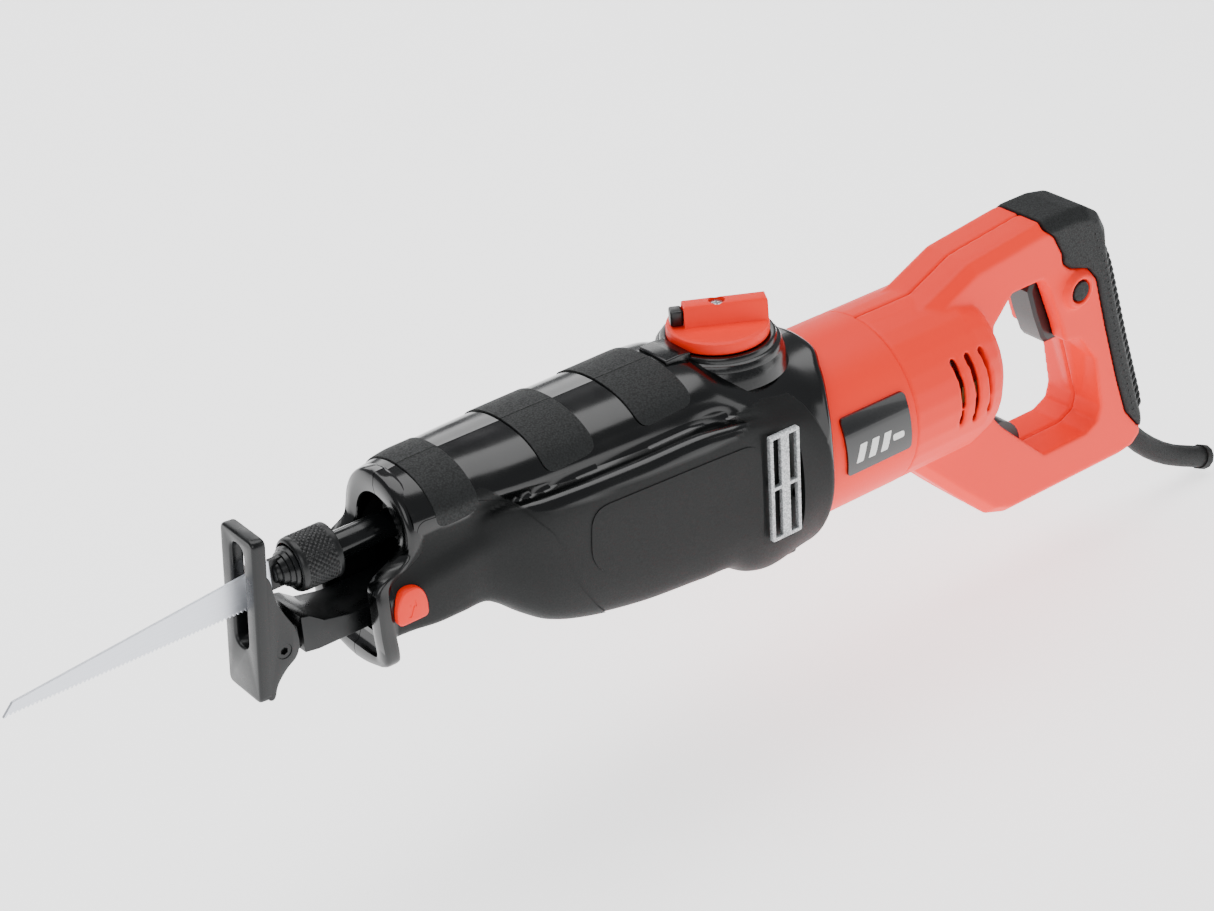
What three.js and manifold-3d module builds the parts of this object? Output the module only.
// Reciprocating saw with a D-shaped rear handle, built from its separate pieces.
// X runs along the tool with the blade towards -X, Z is up, and Y = 0 is the seam of the shells.
// Inside this file X = 0 is the joint ring between motor barrel and handle, and Z = 0 is the
// motor shaft. The finished group is moved so that its origin is at the bottom centre of its box.

import * as THREE from 'three';
import { mergeVertices } from 'three/addons/utils/BufferGeometryUtils.js';
import Module from 'manifold-3d';

const wasm = await Module();
wasm.setup();

// ---------- driving dimensions, millimetres ----------
const GAP = 0.3;
const SEAM = 0.15;
const WALL = 3;
const MOTOR_RADIUS = 40.5;
const MOTOR_WALL = 2.5;
const PLUNGER_Z = 39;
const ROD_RADIUS = 5.9;
const STROKE = 26;
const CRANK_RADIUS = STROKE / 2;
const GEAR_X = -105;
const GEAR_RADIUS = 28.5;
const GEAR_TEETH = 18;
const PINION_TEETH = 6;
const PINION_TIP = 8;
const SHAFT_RADIUS = 4;
const COLLAR_TOP_X = -249;
const COLLAR_FOOT_X = -267;
const FLANGE_BACK_X = -260.5;
const FOOT_Z = -48.2;
const SHOE_PIVOT = { x: -303, z: 12 };
const SHOE_TILT = THREE.MathUtils.degToRad(5.2);
const SHOE_WIDTH = 24;
const SHOE_THICKNESS = 6;
const BLADE_THICKNESS = 1.3;
const KNOB_X = -76;
const KNOB_SEAT_Z = 61;
const KNOB_RADIUS = 21.8;
const RIDGE_TOP = 76.2;
const KNOB_TURN = THREE.MathUtils.degToRad(-30);
const HANDLE_HALF = 17.5;
const HANDLE_BEVEL = 5;
const TRIGGER_HALF = 8;
const LOCK_BUTTON = { x: 122.5, z: 17, radius: 5.3 };
const DIAL = { x: 85, z: -60, radius: 15.5, half: 4.5 };
const GUARD_RADIUS = 5.7;
const GUARD_BORE = 3.3;
const SIDES = 20;
const RING_STEPS = 11;
const LIP_RADIUS = 47;

// ---------- finishes ----------
const FINISH = {
  orange: { color: 0xff5230, roughness: 0.45, metalness: 0 },
  gloss_black: { color: 0x1c1e1f, roughness: 0.25, metalness: 0 },
  rubber: { color: 0x2b2e2e, roughness: 0.85, metalness: 0 },
  black_metal: { color: 0x17191a, roughness: 0.35, metalness: 0.6 },
  blade_steel: { color: 0xdde0e6, roughness: 0.35, metalness: 0.9 },
  silver_paint: { color: 0xa9abac, roughness: 0.5, metalness: 0.4 },
  bright_steel: { color: 0xb8bcc0, roughness: 0.3, metalness: 1 },
  aluminium: { color: 0x9ea3a6, roughness: 0.5, metalness: 1 },
  copper: { color: 0xb36a3a, roughness: 0.4, metalness: 1 },
  bronze: { color: 0x9a7a48, roughness: 0.5, metalness: 1 },
  dark_plastic: { color: 0x232526, roughness: 0.6, metalness: 0 },
  label: { color: 0x121314, roughness: 0.2, metalness: 0 },
};

const saw = new THREE.Group();

// ---------- solids: geometry in, booleans, geometry out ----------
function solid(geometry) {
  let shape = geometry.clone();
  shape.deleteAttribute('normal');
  shape.deleteAttribute('uv');
  shape = mergeVertices(shape, 1e-4);
  const vertProperties = new Float32Array(shape.attributes.position.array);
  const triVerts = new Uint32Array(shape.index.array);
  const body = new wasm.Manifold(new wasm.Mesh({ numProp: 3, vertProperties, triVerts }));
  if (body.volume() <= 0) throw new Error('a shape is drawn inside out');
  return body;
}

function add(name, body, finish) {
  const mesh = body.getMesh();
  const geometry = new THREE.BufferGeometry();
  geometry.setAttribute('position', new THREE.BufferAttribute(new Float32Array(mesh.vertProperties), 3));
  geometry.setIndex(new THREE.BufferAttribute(new Uint32Array(mesh.triVerts), 1));
  geometry.computeVertexNormals();
  const node = new THREE.Mesh(geometry, new THREE.MeshStandardMaterial(FINISH[finish]));
  node.name = name;
  saw.add(node);
  return node;
}

function join(...bodies) {
  return bodies.reduce((sum, body) => sum.add(body));
}

function cut(body, ...tools) {
  return tools.reduce((rest, tool) => rest.subtract(tool), body);
}

function block([x0, x1], [y0, y1], [z0, z1]) {
  const box = new THREE.BoxGeometry(x1 - x0, y1 - y0, z1 - z0);
  return solid(box.translate((x0 + x1) / 2, (y0 + y1) / 2, (z0 + z1) / 2));
}

function rodAlong(axis, radius, [from, to], centre = [0, 0], sides = SIDES) {
  const rod = new THREE.CylinderGeometry(radius, radius, to - from, sides);
  const middle = (from + to) / 2;
  if (axis === 'x') rod.rotateZ(-Math.PI / 2).translate(middle, centre[0], centre[1]);
  if (axis === 'y') rod.translate(centre[0], middle, centre[1]);
  if (axis === 'z') rod.rotateX(Math.PI / 2).translate(centre[0], centre[1], middle);
  return solid(rod);
}

function turnedX(profile, z = 0, sides = SIDES) {
  const points = profile.map(([x, radius]) => new THREE.Vector2(radius, x));
  const lathe = new THREE.LatheGeometry(points, sides);
  return solid(lathe.rotateZ(-Math.PI / 2).translate(0, 0, z));
}

function tube(radius, bore, [from, to], z = 0, sides = SIDES) {
  return cut(rodAlong('x', radius, [from, to], [0, z], sides),
    rodAlong('x', bore, [from - 1, to + 1], [0, z], sides));
}

function outline(points) {
  return new THREE.Shape(points.map(([a, b]) => new THREE.Vector2(a, b)));
}

function plateAlongY(shape, [y0, y1], bevel = 0, segments = 2) {
  const geometry = new THREE.ExtrudeGeometry(shape, {
    depth: y1 - y0 - 2 * bevel, bevelEnabled: bevel > 0, bevelThickness: bevel,
    bevelSize: bevel, bevelOffset: -bevel, bevelSegments: segments, curveSegments: 6,
  });
  return solid(geometry.rotateX(Math.PI / 2).translate(0, y1 - bevel, 0));
}

function plateAlongX(shape, [x0, x1]) {
  const geometry = new THREE.ExtrudeGeometry(shape,
    { depth: x1 - x0, bevelEnabled: false, curveSegments: 6 });
  const turn = new THREE.Matrix4().makeBasis(
    new THREE.Vector3(0, 1, 0), new THREE.Vector3(0, 0, 1), new THREE.Vector3(1, 0, 0));
  return solid(geometry.applyMatrix4(turn).translate(x0, 0, 0));
}

function plateAlongZ(shape, [z0, z1]) {
  const geometry = new THREE.ExtrudeGeometry(shape,
    { depth: z1 - z0, bevelEnabled: false, curveSegments: 6 });
  return solid(geometry.translate(0, 0, z0));
}

function roundedSlot(u0, u1, v0, v1, radius) {
  const shape = new THREE.Shape();
  shape.moveTo(u0 + radius, v0);
  shape.lineTo(u1 - radius, v0);
  shape.absarc(u1 - radius, v0 + radius, radius, -Math.PI / 2, 0);
  shape.absarc(u1 - radius, v1 - radius, radius, 0, Math.PI / 2);
  shape.absarc(u0 + radius, v1 - radius, radius, Math.PI / 2, Math.PI);
  shape.absarc(u0 + radius, v0 + radius, radius, Math.PI, Math.PI * 1.5);
  return shape;
}

// Joins rings of points, all alike in number, into one closed body with fanned ends.
function loft(rings) {
  const count = rings[0].length;
  const positions = rings.flat().flatMap((p) => [p.x, p.y, p.z]);
  const index = [];
  for (let ring = 0; ring < rings.length - 1; ring++) {
    for (let i = 0; i < count; i++) {
      const a = ring * count + i;
      const b = ring * count + (i + 1) % count;
      index.push(a, a + count, b, b, a + count, b + count);
    }
  }
  for (const [ring, flip] of [[0, false], [rings.length - 1, true]]) {
    const middle = rings[ring].reduce((sum, p) => sum.add(p), new THREE.Vector3());
    middle.divideScalar(count);
    const hub = positions.length / 3;
    positions.push(middle.x, middle.y, middle.z);
    for (let i = 0; i < count; i++) {
      const a = ring * count + i;
      const b = ring * count + (i + 1) % count;
      index.push(...(flip ? [hub, b, a] : [hub, a, b]));
    }
  }
  const geometry = new THREE.BufferGeometry();
  geometry.setAttribute('position', new THREE.Float32BufferAttribute(positions, 3));
  geometry.setIndex(index);
  return solid(geometry);
}

const leftSide = block([-500, 400], [-200, -SEAM], [-300, 300]);
const rightSide = block([-500, 400], [SEAM, 200], [-300, 300]);

function halves(body) {
  return [['left', body.intersect(leftSide)], ['right', body.intersect(rightSide)]];
}

// ---------- front housing ----------
// Stations along the tool: x, top z, barrel half-width, body half-width, shoulder z, bottom z,
// lower corner radius, depth of the groove between barrel and body, and how far the section has
// turned into the round lip (0 to 1).
const HOUSING_STATIONS = [
  [-256, 60, 20, 25, 27, 2, 7, 1, 0],
  [-243, 62, 23, 27, 30, 2, 7, 1, 0],
  [-237, 63, 25, 28, 32, 2, 8, 1, 0],
  [-216, 63, 26, 29, 34, 1, 10, 1, 0],
  [-207, 63, 27, 34, 38, -7, 12, 2, 0],
  [-195, 63, 28, 38, 40, -15, 14, 3, 0],
  [-170, 63, 29, 41, 41, -23, 15, 3, 0],
  [-150, 63, 29.3, 41.7, 41, -26.5, 15, 3, 0],
  [-120, 63, 30, 43.5, 42, -28, 16, 3, 0],
  [-104, 62, 31, 45, 41, -29.5, 18, 3, 0],
  [-90, 58, 32, 46, 39, -40, 24, 2, 0.15],
  [-70, 56, 32, 47, 36, -46, 30, 0, 0.5],
  [-50, 50, 30, 47, 28, -48, 38, 0, 0.9],
  [-33, 47, 28, 46, 22, -46, 38, 0, 1],
];

function housingRing([x, top, barrel, body, shoulder, bottom, corner, dent, round], inset) {
  const b = barrel - inset;
  const w = body - inset;
  const t = top - inset;
  const z = bottom + inset;
  const groove = [(b + w - 2) / 2 - dent, (t - 12 + shoulder + 3) / 2 - dent];
  const half = [[0, t], [0.5 * b, t - 1.2], [0.85 * b, t - 5], [b + 1, t - 12], groove,
    [w - 3, shoulder + 3], [w, shoulder - 4], [w, z + corner],
    [w - 0.3 * corner, z + 0.3 * corner], [w - corner, z], [0, z]];
  const curve = new THREE.SplineCurve(half.map(([y, h]) => new THREE.Vector2(y, h)));
  const lip = LIP_RADIUS - inset;
  const right = curve.getSpacedPoints(RING_STEPS).map((p, i) => {
    const angle = Math.PI * i / RING_STEPS;
    return p.lerp(new THREE.Vector2(lip * Math.sin(angle), lip * Math.cos(angle)), round);
  });
  const left = right.slice(1, -1).reverse();
  return [...right.map((p) => new THREE.Vector3(x, p.x, p.y)),
    ...left.map((p) => new THREE.Vector3(x, -p.x, p.y))];
}

function housingBody(inset, from = -Infinity) {
  const stations = HOUSING_STATIONS.filter(([x]) => x >= from);
  return loft(stations.map((station) => housingRing(station, inset)));
}

// Front view of the nose collar: a round lobe over the plunger and a square foot round the shoe bar.
function collarOutline() {
  const lobe = 23.5;
  const foot = 25;
  const shape = new THREE.Shape();
  shape.moveTo(-foot, -3);
  shape.quadraticCurveTo(-foot, -9, -15, -11);
  shape.quadraticCurveTo(0, -14.5, 15, -11);
  shape.quadraticCurveTo(foot, -9, foot, -3);
  shape.lineTo(foot, 14);
  shape.quadraticCurveTo(foot, 21, lobe - 3, 25);
  shape.quadraticCurveTo(lobe, 32, lobe, 40);
  shape.absarc(0, 40, lobe, 0, Math.PI);
  shape.quadraticCurveTo(-lobe, 32, -lobe + 3, 25);
  shape.quadraticCurveTo(-foot, 21, -foot, 14);
  return shape;
}

// Front view of the mouth: round round the chuck, square round the shoe bar.
function mouthOutline(floor) {
  const shape = new THREE.Shape();
  shape.moveTo(-17, floor);
  shape.lineTo(17, floor);
  shape.lineTo(17, 19);
  shape.lineTo(14.2, 25);
  shape.lineTo(14.2, PLUNGER_Z);
  shape.absarc(0, PLUNGER_Z, 14.2, 0, Math.PI);
  shape.lineTo(-14.2, 25);
  shape.lineTo(-17, 19);
  return shape;
}

function makeHousing() {
  const collarSide = outline([[COLLAR_TOP_X, 70], [COLLAR_TOP_X - 2, 37], [-257, 32.5], [-264, 29.3],
    [COLLAR_FOOT_X, 25.5], [COLLAR_FOOT_X - 0.8, 12], [COLLAR_FOOT_X + 1, -20], [FLANGE_BACK_X, -20],
    [FLANGE_BACK_X, 1.8], [-242, 1.5], [-238.5, 7], [-238, 70]]);
  const collar = plateAlongX(collarOutline(), [-275, -230])
    .intersect(plateAlongY(collarSide, [-40, 40]));
  const foot = plateAlongY(outline([[-78, -36], [-53, -36], [-53, FOOT_Z], [-74, FOOT_Z]]),
    [-19.5, 19.5], 2, 1);
  const rearLip = plateAlongY(outline([[-51, -80], [0, -80], [0, 80], [-30, 80], [-33, 46],
    [-38, 41], [-45, 30], [-50, 16], [-51.5, 0]]), [-80, 80]);
  const cavity = housingBody(WALL, -216);
  const frontCavity = block([-232, -200], [-24, 24], [3.5, 54]);
  const barrelBore = rodAlong('x', MOTOR_RADIUS + GAP, [-66, 0], [0, 0], 40);
  const barHole = block([-240, -230], [-12.6, 12.6], [5.4, 18.6]);
  const bushSeat = rodAlong('x', 9.8 + GAP, [-240, -230], [0, PLUNGER_Z]);
  const buttonPocket = plateAlongY(buttonFace(GAP), [-40, -18]);
  const spindleHole = rodAlong('z', 7.3, [40, 80], [KNOB_X, 0]);
  let shell = join(housingBody(0), collar, foot);
  shell = cut(shell, cavity, frontCavity, barrelBore, rearLip, barHole, bushSeat, spindleHole);
  shell = cut(shell, plateAlongX(mouthOutline(-6), [-280, FLANGE_BACK_X]),
    plateAlongX(mouthOutline(4.6), [-280, -238]), buttonPocket);
  const { x0, x1, z0, z1, seat } = GRILLE;
  const grilleSeat = roundedSlot(x0 - GAP, x1 + GAP, z0 - GAP, z1 + GAP, 1.5);
  for (const [window, pocket] of [[[-60, -35], [-60, -seat]], [[35, 60], [seat, 60]]]) {
    shell = cut(shell, block([-88, -76], window, [-11, 32]), plateAlongY(grilleSeat, pocket));
  }
  const within = housingBody(1);
  shell = join(shell, ...HOUSING_SCREWS.map((screw) => screwPost(screw, within)));
  shell = cut(shell, ...HOUSING_SCREWS.map(screwHole));
  for (const [side, body] of halves(shell)) {
    add('housing_' + side, body, 'gloss_black');
  }
}

// ---------- screws: heads on the right side, each in its own post ----------
const SCREW_HEAD = 3.4;
const SCREW_SHANK = 1.7;
const HOUSING_SCREWS = [
  { x: -216, z: 24, seat: 22 }, { x: -150, z: -10, seat: 34 }, { x: -98, z: -27.5, seat: 22 },
];
const HANDLE_SCREWS = [
  { x: 86, z: 43, seat: 11 }, { x: 60, z: -58, seat: 11 }, { x: 150, z: -76, seat: 11 },
];

// A post from wall to wall with the screw's own stepped hole down it.
function screwPost({ x, z }, within) {
  return rodAlong('y', 5, [-60, 60], [x, z], 16).intersect(within);
}

function screwHole({ x, z, seat }) {
  return join(rodAlong('y', SCREW_HEAD + GAP, [seat - GAP, 60], [x, z], 12),
    rodAlong('y', SCREW_SHANK + GAP, [-11, 60], [x, z], 12));
}

function makeScrew(name, { x, z, seat }) {
  const head = rodAlong('y', SCREW_HEAD, [seat, seat + 2.4], [x, z], 12);
  const shank = rodAlong('y', SCREW_SHANK, [-10, seat + 1], [x, z], 12);
  const cross = join(block([x - 2, x + 2], [seat + 1.2, seat + 4], [z - 0.4, z + 0.4]),
    block([x - 0.4, x + 0.4], [seat + 1.2, seat + 4], [z - 2, z + 2]));
  add(name, cut(join(head, shank), cross), 'bright_steel');
}

// ---------- rubber skins on the housing ----------
const BANDS = [['front', -237.7, -219, 44], ['middle', -188, -163, 50], ['rear', -141, -113, 52]];

function makeBands() {
  const skin = cut(housingBody(-1.3), housingBody(-GAP));
  for (const [place, from, to, low] of BANDS) {
    const region = block([from, to], [-60, 60], [low, 80]);
    for (const [side, body] of halves(skin.intersect(region))) {
      add('grip_band_' + place + '_' + side, body, 'rubber');
    }
  }
}

function makeSidePads() {
  const skin = cut(housingBody(-1.2), housingBody(-GAP));
  const pad = roundedSlot(-179, -96, -8, 31, 9);
  for (const [side, range] of [['left', [-60, -30]], ['right', [30, 60]]]) {
    add('side_pad_' + side, skin.intersect(plateAlongY(pad, range)), 'rubber');
  }
}

const GRILLE = { x0: -90, x1: -74, z0: -15, z1: 35, bar: 2, seat: 46.2 };

function makeGrilles() {
  const frame = GRILLE;
  const middleX = (frame.x0 + frame.x1) / 2;
  const middleZ = (frame.z0 + frame.z1) / 2;
  const near = frame.seat + GAP;
  for (const [side, range] of [['left', [-near - 1.7, -near]], ['right', [near, near + 1.7]]]) {
    let plate = plateAlongY(roundedSlot(frame.x0, frame.x1, frame.z0, frame.z1, 1.5), range);
    for (const [x0, x1] of [[frame.x0 + frame.bar, middleX - 1.6], [middleX + 1.6, frame.x1 - frame.bar]]) {
      for (const [z0, z1] of [[frame.z0 + frame.bar, middleZ - 1], [middleZ + 1, frame.z1 - frame.bar]]) {
        plate = cut(plate, block([x0, x1], [-60, 60], [z0, z1]));
      }
    }
    add('vent_grille_' + side, plate, 'silver_paint');
  }
}

// ---------- selector on top ----------
function turnKnob(body) {
  const turn = THREE.MathUtils.radToDeg(KNOB_TURN);
  return body.rotate([0, 0, turn]).translate([KNOB_X, 0, 0]);
}

function makeSelector() {
  const boss = join(rodAlong('z', 26, [46, 58.5], [KNOB_X, 0], 36),
    rodAlong('z', 24.5, [46, KNOB_SEAT_Z - GAP], [KNOB_X, 0], 36));
  add('knob_boss', cut(boss, housingBody(-GAP), rodAlong('z', 7.3, [40, 80], [KNOB_X, 0])), 'dark_plastic');

  const ridgeSide = outline([[-5.5, 65], [5.5, 65], [3.6, RIDGE_TOP], [-3.6, RIDGE_TOP]]);
  const ridge = plateAlongX(ridgeSide, [-14.5, 21]);
  const disc = rodAlong('z', KNOB_RADIUS, [KNOB_SEAT_Z, 66.5], [0, 0], 36);
  const stem = rodAlong('z', 7, [52, KNOB_SEAT_Z + 1]);
  const shankHole = rodAlong('z', 1.9, [60, 90], [0, 0], 12);
  const screwHole = join(rodAlong('z', 3.3, [72.4, 90], [0, 0], 16), shankHole);
  const latchHole = rodAlong('x', 2.7, [-22, -8], [0, 70.5], 14);
  add('selector_knob', turnKnob(cut(join(disc, ridge, stem), screwHole, latchHole)), 'orange');
  const head = rodAlong('z', 3, [72.7, 74.8], [0, 0], 16);
  const shank = rodAlong('z', 1.6, [61, 73], [0, 0], 12);
  const cross = join(block([-1.9, 1.9], [-0.35, 0.35], [73.8, 80]),
    block([-0.35, 0.35], [-1.9, 1.9], [73.8, 80]));
  add('knob_screw', turnKnob(cut(join(head, shank), cross)), 'bright_steel');
  const pin = rodAlong('x', 2.4, [-20, -12], [0, 70.5], 14);
  const pad = plateAlongX(roundedSlot(-3.6, 3.6, 67, 74.6, 2), [-20.2, -17.9]);
  add('knob_latch', turnKnob(join(pin, pad)), 'dark_plastic');
}

// ---------- motor and drive ----------
function makeMotor() {
  add('motor_housing', tube(MOTOR_RADIUS, MOTOR_RADIUS - MOTOR_WALL, [-64, 0], 0, 40), 'orange');
  const badgeRing = tube(MOTOR_RADIUS + 1.1, MOTOR_RADIUS + GAP, [-41.5, -4.5], 0, 40);
  for (const [side, range] of [['left', [-60, -20]], ['right', [20, 60]]]) {
    add('badge_' + side, badgeRing.intersect(block([-41.5, -4.5], range, [-6, 20])), 'label');
  }
  const winding = tube(30, 25.5, [-34, 34]);
  add('stator', join(tube(37.5, 24.6, [-28, 28]), winding), 'aluminium');

  const core = rodAlong('x', 23.6, [-24, 26]);
  const coil = rodAlong('x', 18, [-32, 32]);
  const shaft = rodAlong('x', SHAFT_RADIUS, [-92, 60], [0, 0], 16);
  let pinion = rodAlong('x', 5.2, [-90, -79], [0, 0], 18);
  for (let tooth = 0; tooth < PINION_TEETH; tooth++) {
    const turn = 360 * tooth / PINION_TEETH;
    pinion = join(pinion, block([-90, -79], [-0.9, 0.9], [4, PINION_TIP]).rotate([turn, 0, 0]));
  }
  add('armature', join(core, coil, shaft, pinion), 'bright_steel');
  add('commutator', tube(12.5, SHAFT_RADIUS + GAP, [35, 46]), 'copper');
  let fan = join(tube(33, 12, [-40.5, -38.5]), tube(12, SHAFT_RADIUS + GAP, [-48, -38.5]));
  const vane = block([-48, -39], [-0.8, 0.8], [11, 33]);
  for (let step = 0; step < 9; step++) {
    fan = join(fan, vane.rotate([360 * step / 9, 0, 0]));
  }
  add('cooling_fan', fan, 'dark_plastic');
  add('bearing_front', tube(11, SHAFT_RADIUS + GAP, [-73.7, -66.3]), 'bright_steel');
  add('bearing_rear', tube(9.5, SHAFT_RADIUS + GAP, [51, 59]), 'bright_steel');
  for (const [side, range] of [['left', [-31, -13]], ['right', [13, 31]]]) {
    add('brush_holder_' + side, block([36, 45], range, [-4, 4]), 'bronze');
  }
}

function makeDrive() {
  const tub = block([-139, -66], [-31.5, 31.5], [-16.5, 22]);
  const room = block([-136, -74], [-29.6, 29.6], [-13.5, 30]);
  const shaftHole = rodAlong('x', 11 + GAP, [-80, -60]);
  const spindleHole = rodAlong('z', 4 + GAP, [-20, 0], [GEAR_X, 0], 16);
  const barrelRelief = rodAlong('x', MOTOR_RADIUS, [-60, -50]);
  add('gear_case', cut(tub, room, shaftHole, spindleHole, barrelRelief), 'aluminium');
  add('gear_spindle', rodAlong('z', 4, [-16, 14.6], [GEAR_X, 0], 16), 'bright_steel');

  let gear = rodAlong('z', GEAR_RADIUS, [9, 15], [GEAR_X, 0], GEAR_TEETH);
  gear = cut(gear, rodAlong('z', 4 + GAP, [0, 20], [GEAR_X, 0], 16));
  const teeth = [];
  for (let tooth = 0; tooth < GEAR_TEETH; tooth++) {
    const turn = 360 * (tooth + 0.5) / GEAR_TEETH;
    const bar = block([16, GEAR_RADIUS - 0.6], [-0.8, 0.8], [6, 9.5]);
    teeth.push(bar.rotate([0, 0, turn]).translate([GEAR_X, 0, 0]));
  }
  const pin = rodAlong('z', 4, [14, 29], [GEAR_X - CRANK_RADIUS, 0], 16);
  add('drive_gear', join(gear, ...teeth, pin), 'bright_steel');
}

function makePlunger() {
  const yokeX = GEAR_X - CRANK_RADIUS;
  const rod = rodAlong('x', ROD_RADIUS, [-274, yokeX - 6], [0, PLUNGER_Z]);
  const yoke = block([yokeX - 8.5, yokeX + 8.5], [-20.5, 20.5], [31.5, 45.5]);
  const slot = block([yokeX - 4.4, yokeX + 4.4], [-17.6, 17.6], [20, 60]);
  add('plunger', cut(join(rod, yoke), slot), 'black_metal');
  add('bushing_front', tube(9.8, ROD_RADIUS + GAP, [-237.7, -222], PLUNGER_Z), 'bronze');
  add('bushing_rear', tube(9.8, ROD_RADIUS + GAP, [-166, -152], PLUNGER_Z), 'bronze');
  const holder = block([-164, -154], [-23, 23], [12, 49]);
  add('bushing_block', cut(holder, rodAlong('x', 9.8 + GAP, [-170, -150], [0, PLUNGER_Z])), 'aluminium');
  add('plunger_seal', tube(8.6, ROD_RADIUS + GAP, [-241.5, -238], PLUNGER_Z), 'rubber');
}

function makeChuck() {
  const body = turnedX([[-297.5, 0], [-297.5, 3.6], [-293.5, 5.2], [-293.5, 7], [-290, 7.6],
    [-290, 8.2], [-274.3, 8.2], [-274.3, 0]], PLUNGER_Z);
  const bladeSlot = block([-299, -278], [-1, 1], [PLUNGER_Z - 6.4, PLUNGER_Z + 6.4]);
  add('chuck_body', cut(body, bladeSlot), 'black_metal');
  const sleeve = turnedX([[-289.6, 8.5], [-289.6, 9], [-285.5, 11.2], [-272.6, 11.2], [-271.4, 10.4],
    [-271.4, 6.5], [-273.9, 6.5], [-273.9, 8.5], [-289.6, 8.5]], PLUNGER_Z, 24);
  add('chuck_sleeve', sleeve, 'black_metal');
}

// ---------- blade ----------
function makeBlade() {
  const edgeZ = 28.3;
  const toothPitch = 2.4;
  const toothDepth = 1.1;
  const points = [[-279, PLUNGER_Z - 6], [-299.5, PLUNGER_Z - 6.2], [-301, edgeZ]];
  for (let x = -303; x > -410; x -= toothPitch) {
    points.push([x, edgeZ], [x - 0.5, edgeZ + toothDepth]);
  }
  points.push([-412, edgeZ], [-407.5, 33.1], [-301, 44.4], [-299.5, PLUNGER_Z + 6.2],
    [-279, PLUNGER_Z + 6]);
  const half = BLADE_THICKNESS / 2;
  add('blade', plateAlongY(outline(points.reverse()), [-half, half]), 'blade_steel');
}

// ---------- shoe ----------
function tiltShoe(body) {
  const turn = THREE.MathUtils.radToDeg(SHOE_TILT);
  return body.rotate([0, turn, 0]).translate([SHOE_PIVOT.x, 0, SHOE_PIVOT.z]);
}

// Drawn upright round the pivot at (0, 0), then tilted into its place.
function makeShoe() {
  const half = SHOE_WIDTH / 2;
  const front = -11.5;
  const back = front + SHOE_THICKNESS;
  const plateSide = outline([[front, -20], [back, -20], [back, 50], [front, 50]]);
  const plate = plateAlongY(plateSide, [-half, half], 1.6, 2);
  const ear = outline([[back - 2, -20], [back + 1, -20], [-2.5, -10], [3, -6], [6.5, -2], [7, 4],
    [4, 12], [0, 17], [-4, 27], [back - 2, 33]]);
  const ears = cut(plateAlongY(ear, [-half, half]), block([-5.2, 30], [-7.8, 7.8], [-40, 60]));
  const slot = plateAlongX(roundedSlot(-4.7, 4.7, 0.5, 45, 4.6), [front - 5, back + 1]);
  const pinHole = rodAlong('y', 3.2 + GAP, [-20, 20], [0, 0], 16);
  add('shoe_plate', tiltShoe(cut(join(plate, ears), slot, pinHole)), 'black_metal');
  const pin = rodAlong('y', 3.2, [-11.6, 11.6], [0, 0], 16);
  const socket = rodAlong('y', 1.7, [-14, -10], [0, 0], 6);
  add('shoe_pin', tiltShoe(cut(pin, socket)), 'black_metal');

  const px = SHOE_PIVOT.x;
  const pz = SHOE_PIVOT.z;
  const tongue = cut(join(rodAlong('y', 5, [-7.5, 7.5], [px, pz], 20),
    block([px, px + 14], [-7.5, 7.5], [pz - 5, pz + 5])),
    rodAlong('y', 3.2 + GAP, [-20, 20], [px, pz], 16));
  const armSide = outline([[-294, 7], [-288, 6], [-276, 6], [-200, 6], [-200, 15], [-272, 15],
    [-284, 17.5], [-290, 22], [-294, 23]]);
  const arm = plateAlongY(armSide, [-11.5, 11.5]);
  add('shoe_bar', join(tongue, arm), 'black_metal');
}

function buttonFace(margin) {
  const radius = 7.2 + margin;
  const [x, z] = [-253.8, 18.4];
  const shape = new THREE.Shape();
  shape.moveTo(x - radius, z - 7.8 - margin);
  shape.lineTo(x + radius - 2, z - 7.8 - margin);
  shape.quadraticCurveTo(x + radius, z - 7.8 - margin, x + radius, z - 5.8 - margin);
  shape.absarc(x, z, radius, 0, Math.PI);
  return shape;
}

function makeReleaseButton() {
  add('release_button', plateAlongY(buttonFace(0), [-27.4, -22.2]), 'orange');
}

// ---------- rear handle ----------
const HANDLE_OUTER = [[6, 30], [34.6, 41.2], [57, 51.5], [97, 56.3], [120, 56.4], [131, 54.2],
  [139, 49], [144, 40], [145, 31], [155, -6], [169, -52], [175, -70], [175, -80], [168, -86.5],
  [160, -88], [82, -88], [70, -84], [52, -68], [22, -40], [6, -34]];
const HANDLE_HOLE = [[69.5, 17], [81, 29.5], [100, 29.5], [104.5, 24], [113.5, 1.3], [116.5, -8], [127, -11],
  [137, -24.5], [142, -52],
  [140, -59.5], [132, -63.5], [104, -63.5], [76, -38], [69.5, -30]];
const GRIP_STATIONS = [[-82, 160, 13], [-70, 162.5, 16.6], [-62, 162.2, 17.2], [-44, 156.6, 17.6],
  [-20, 149.3, 17.3], [4, 143.3, 15.9], [24, 139, 13.2], [36, 133.5, 13]];
const RUBBER_REGION = [[104, 80], [102, 53], [107, 49], [113, 38], [113.5, 33], [118, 29],
  [130, 25], [136, 18], [143, -8], [153, -42], [160, -62], [170, -74], [200, -66], [170, 80]];

// The same outline moved outwards by a distance, corner by corner.
function grown(points, distance) {
  const way = Math.sign(THREE.ShapeUtils.area(points.map(([x, y]) => ({ x, y }))));
  return points.map((point, i) => {
    const [before, after] = [points.at(i - 1), points[(i + 1) % points.length]];
    const [a, b] = [[before, point], [point, after]].map(([p, q]) => {
      const length = Math.hypot(q[0] - p[0], q[1] - p[1]);
      return [(q[1] - p[1]) / length, (p[0] - q[0]) / length];
    });
    const reach = way * distance / (1 + a[0] * b[0] + a[1] * b[1]);
    return [point[0] + (a[0] + b[0]) * reach, point[1] + (a[1] + b[1]) * reach];
  });
}

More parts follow.
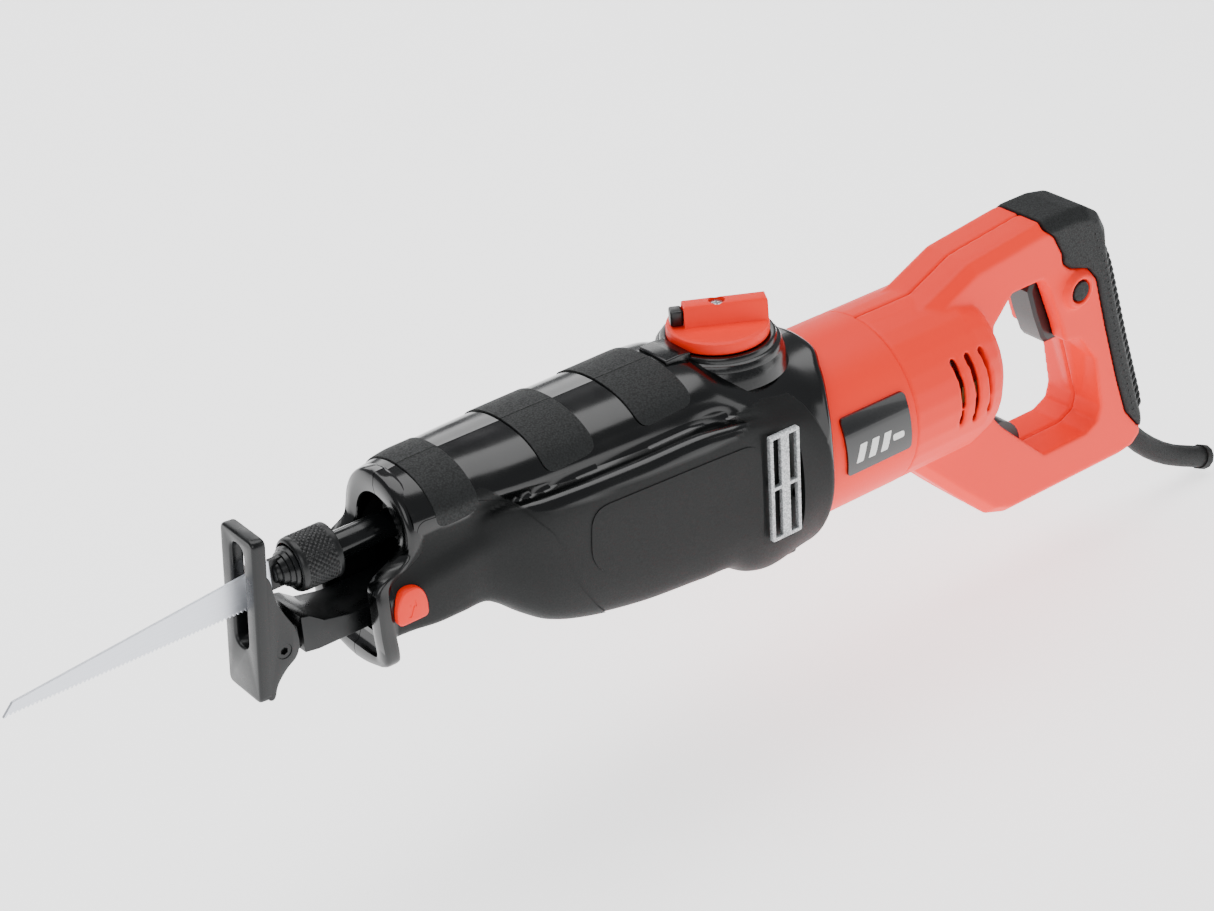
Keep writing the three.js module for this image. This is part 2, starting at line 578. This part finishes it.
const COVER_PROUD = 0.6;
const COVER_DEPTH = 2.8;
function handleLoop(offset) {
  const half = HANDLE_HALF + offset;
  const loop = plateAlongY(outline(grown(HANDLE_OUTER, offset)), [-half, half], HANDLE_BEVEL, 1);
  return join(cut(loop, plateAlongY(outline(HANDLE_HOLE), [-40, 40])), grip(offset));
}

// The part that the hand closes round: oval sections along the leaning grip.
function grip(offset) {
  const sections = GRIP_STATIONS.map(([z, x, depth]) => Array.from({ length: 20 }, (_, i) => {
    const angle = -2 * Math.PI * i / 20;
    return new THREE.Vector3(x + (depth + offset) * Math.cos(angle), (16.5 + offset) * Math.sin(angle), z);
  }));
  return loft(sections);
}

function makeHandle() {
  const barrel = turnedX([[GAP, 0], [GAP, 40.5], [44, 40.5], [55, 37.5], [62, 31], [66, 24],
    [68, 14], [68.3, 0]], 0, 32);
  const bore = turnedX([[-1, 0], [-1, 38], [43, 38], [49, 33], [49, 11], [61, 9.8], [61, 0]], 0, 24);
  const gripRoom = outline([[128, 40], [142, 42], [147, 30], [155, -8], [168, -52], [166, -76],
    [140, -78], [96, -78], [96, -70], [132, -70], [146, -60], [142.5, -28], [137.5, -8], [137.5, 28]]);
  const triggerRoom = join(block([100, 141.5], [-TRIGGER_HALF - GAP, TRIGGER_HALF + GAP], [-7.6, 26.6]),
    plateAlongY(outline([[101, 28], [118, 28], [128, 20], [130.5, -7], [128, -12], [112, -12]]),
      [-TRIGGER_HALF - GAP, TRIGGER_HALF + GAP]));
  const buttonAt = [LOCK_BUTTON.x, LOCK_BUTTON.z];
  const buttonHole = rodAlong('y', LOCK_BUTTON.radius + GAP, [-40, -8.6], buttonAt, 20);
  const buttonRing = rodAlong('y', 8.5, [-20, -10], buttonAt, 24);
  const dialSpan = [-DIAL.half - 0.4, DIAL.half + 0.4];
  const dialRoom = rodAlong('y', DIAL.radius + 0.5, dialSpan, [DIAL.x, DIAL.z], 28);
  const region = plateAlongY(outline(RUBBER_REGION), [-60, 60]);
  add('grip_cover', cut(handleLoop(COVER_PROUD).intersect(region), handleLoop(-COVER_DEPTH)), 'rubber');
  const pocket = cut(plateAlongY(outline(grown(RUBBER_REGION, GAP)), [-60, 60]),
    handleLoop(-COVER_DEPTH - GAP));

  let shell = join(handleLoop(0), barrel, buttonRing);
  shell = cut(shell, bore, plateAlongY(gripRoom, [-11.5, 11.5]), triggerRoom, buttonHole, dialRoom, pocket);
  shell = cut(shell, guardRoom());
  for (const x of [27, 35.5, 44]) {
    for (const range of [[-60, -26], [26, 60]]) {
      shell = cut(shell, plateAlongY(ventSlot(x), range));
    }
  }
  const within = handleLoop(-1);
  shell = join(shell, ...HANDLE_SCREWS.map((screw) => screwPost(screw, within)));
  shell = cut(shell, ...HANDLE_SCREWS.map(screwHole));
  for (const [side, body] of halves(shell)) {
    add('handle_' + side, body, 'orange');
  }
}

function ventSlot(x) {
  const shape = new THREE.Shape();
  shape.moveTo(x - 1.6, 22);
  shape.quadraticCurveTo(x + 2.5, 8, x - 1, -10);
  shape.lineTo(x + 1.4, -10);
  shape.quadraticCurveTo(x + 5, 8, x + 1.6, 22);
  return shape;
}

function guardPath() {
  const stops = [[163, -69], [176, -83], [192, -99.5], [211, -113.5], [241, -127.5]];
  return new THREE.CatmullRomCurve3(stops.map(([x, z]) => new THREE.Vector3(x, 0, z)));
}

function alongGuard(radius, from, to, steps) {
  const whole = guardPath();
  const shares = Array.from({ length: steps + 1 }, (_, i) => from + (to - from) * i / steps);
  const points = shares.map((share) => whole.getPointAt(share));
  const path = new THREE.CatmullRomCurve3(points);
  const section = new THREE.Shape().absarc(0, 0, radius, 0, 2 * Math.PI);
  const settings = { steps, extrudePath: path, curveSegments: 6, bevelEnabled: false };
  return solid(new THREE.ExtrudeGeometry(section, settings));
}

function guardRoom() {
  return join(alongGuard(GUARD_RADIUS + GAP, 0, 0.4, 5), alongGuard(8.3, 0, 0.06, 1));
}

function makeGuard() {
  const sleeve = join(alongGuard(GUARD_RADIUS, 0.02, 0.995, 10), alongGuard(6.5, 0.955, 1, 1),
    alongGuard(8, 0.01, 0.05, 1));
  add('cord_guard', cut(sleeve, alongGuard(GUARD_BORE, 0, 1, 10)), 'rubber');
}

function makeControls() {
  const triggerSide = outline([[132, 24], [104.5, 26], [101.5, 19], [106, 4.5], [111, -8], [113.5, -11.2],
    [122, -11.2], [124, -7.2], [132, -7.2]]);
  add('trigger', plateAlongY(triggerSide, [-TRIGGER_HALF, TRIGGER_HALF], 1.5, 1), 'dark_plastic');
  const button = rodAlong('y', LOCK_BUTTON.radius, [-20.8, -12.2], [LOCK_BUTTON.x, LOCK_BUTTON.z], 20);
  add('lock_button', button, 'dark_plastic');
  const rim = rodAlong('y', DIAL.radius, [-DIAL.half, DIAL.half], [DIAL.x, DIAL.z], 28);
  add('speed_dial', rim, 'dark_plastic');
  add('switch_body', block([138.2, 143.8], [-10.5, 10.5], [-7, 17]), 'dark_plastic');
  add('speed_module', block([104, 130], [-10.5, 10.5], [-77, -71.5]), 'dark_plastic');
}

makeHousing();
makeBands();
makeSidePads();
makeGrilles();
makeSelector();
makeMotor();
makeDrive();
makePlunger();
makeChuck();
makeBlade();
makeShoe();
makeReleaseButton();
makeHandle();
makeGuard();
makeControls();
HOUSING_SCREWS.forEach((screw, i) => makeScrew('housing_screw_' + (i + 1), screw));
HANDLE_SCREWS.forEach((screw, i) => makeScrew('handle_screw_' + (i + 1), screw));

const box = new THREE.Box3().setFromObject(saw);
const middle = box.getCenter(new THREE.Vector3());
saw.position.set(-middle.x, -middle.y, -box.min.z);

export default saw;
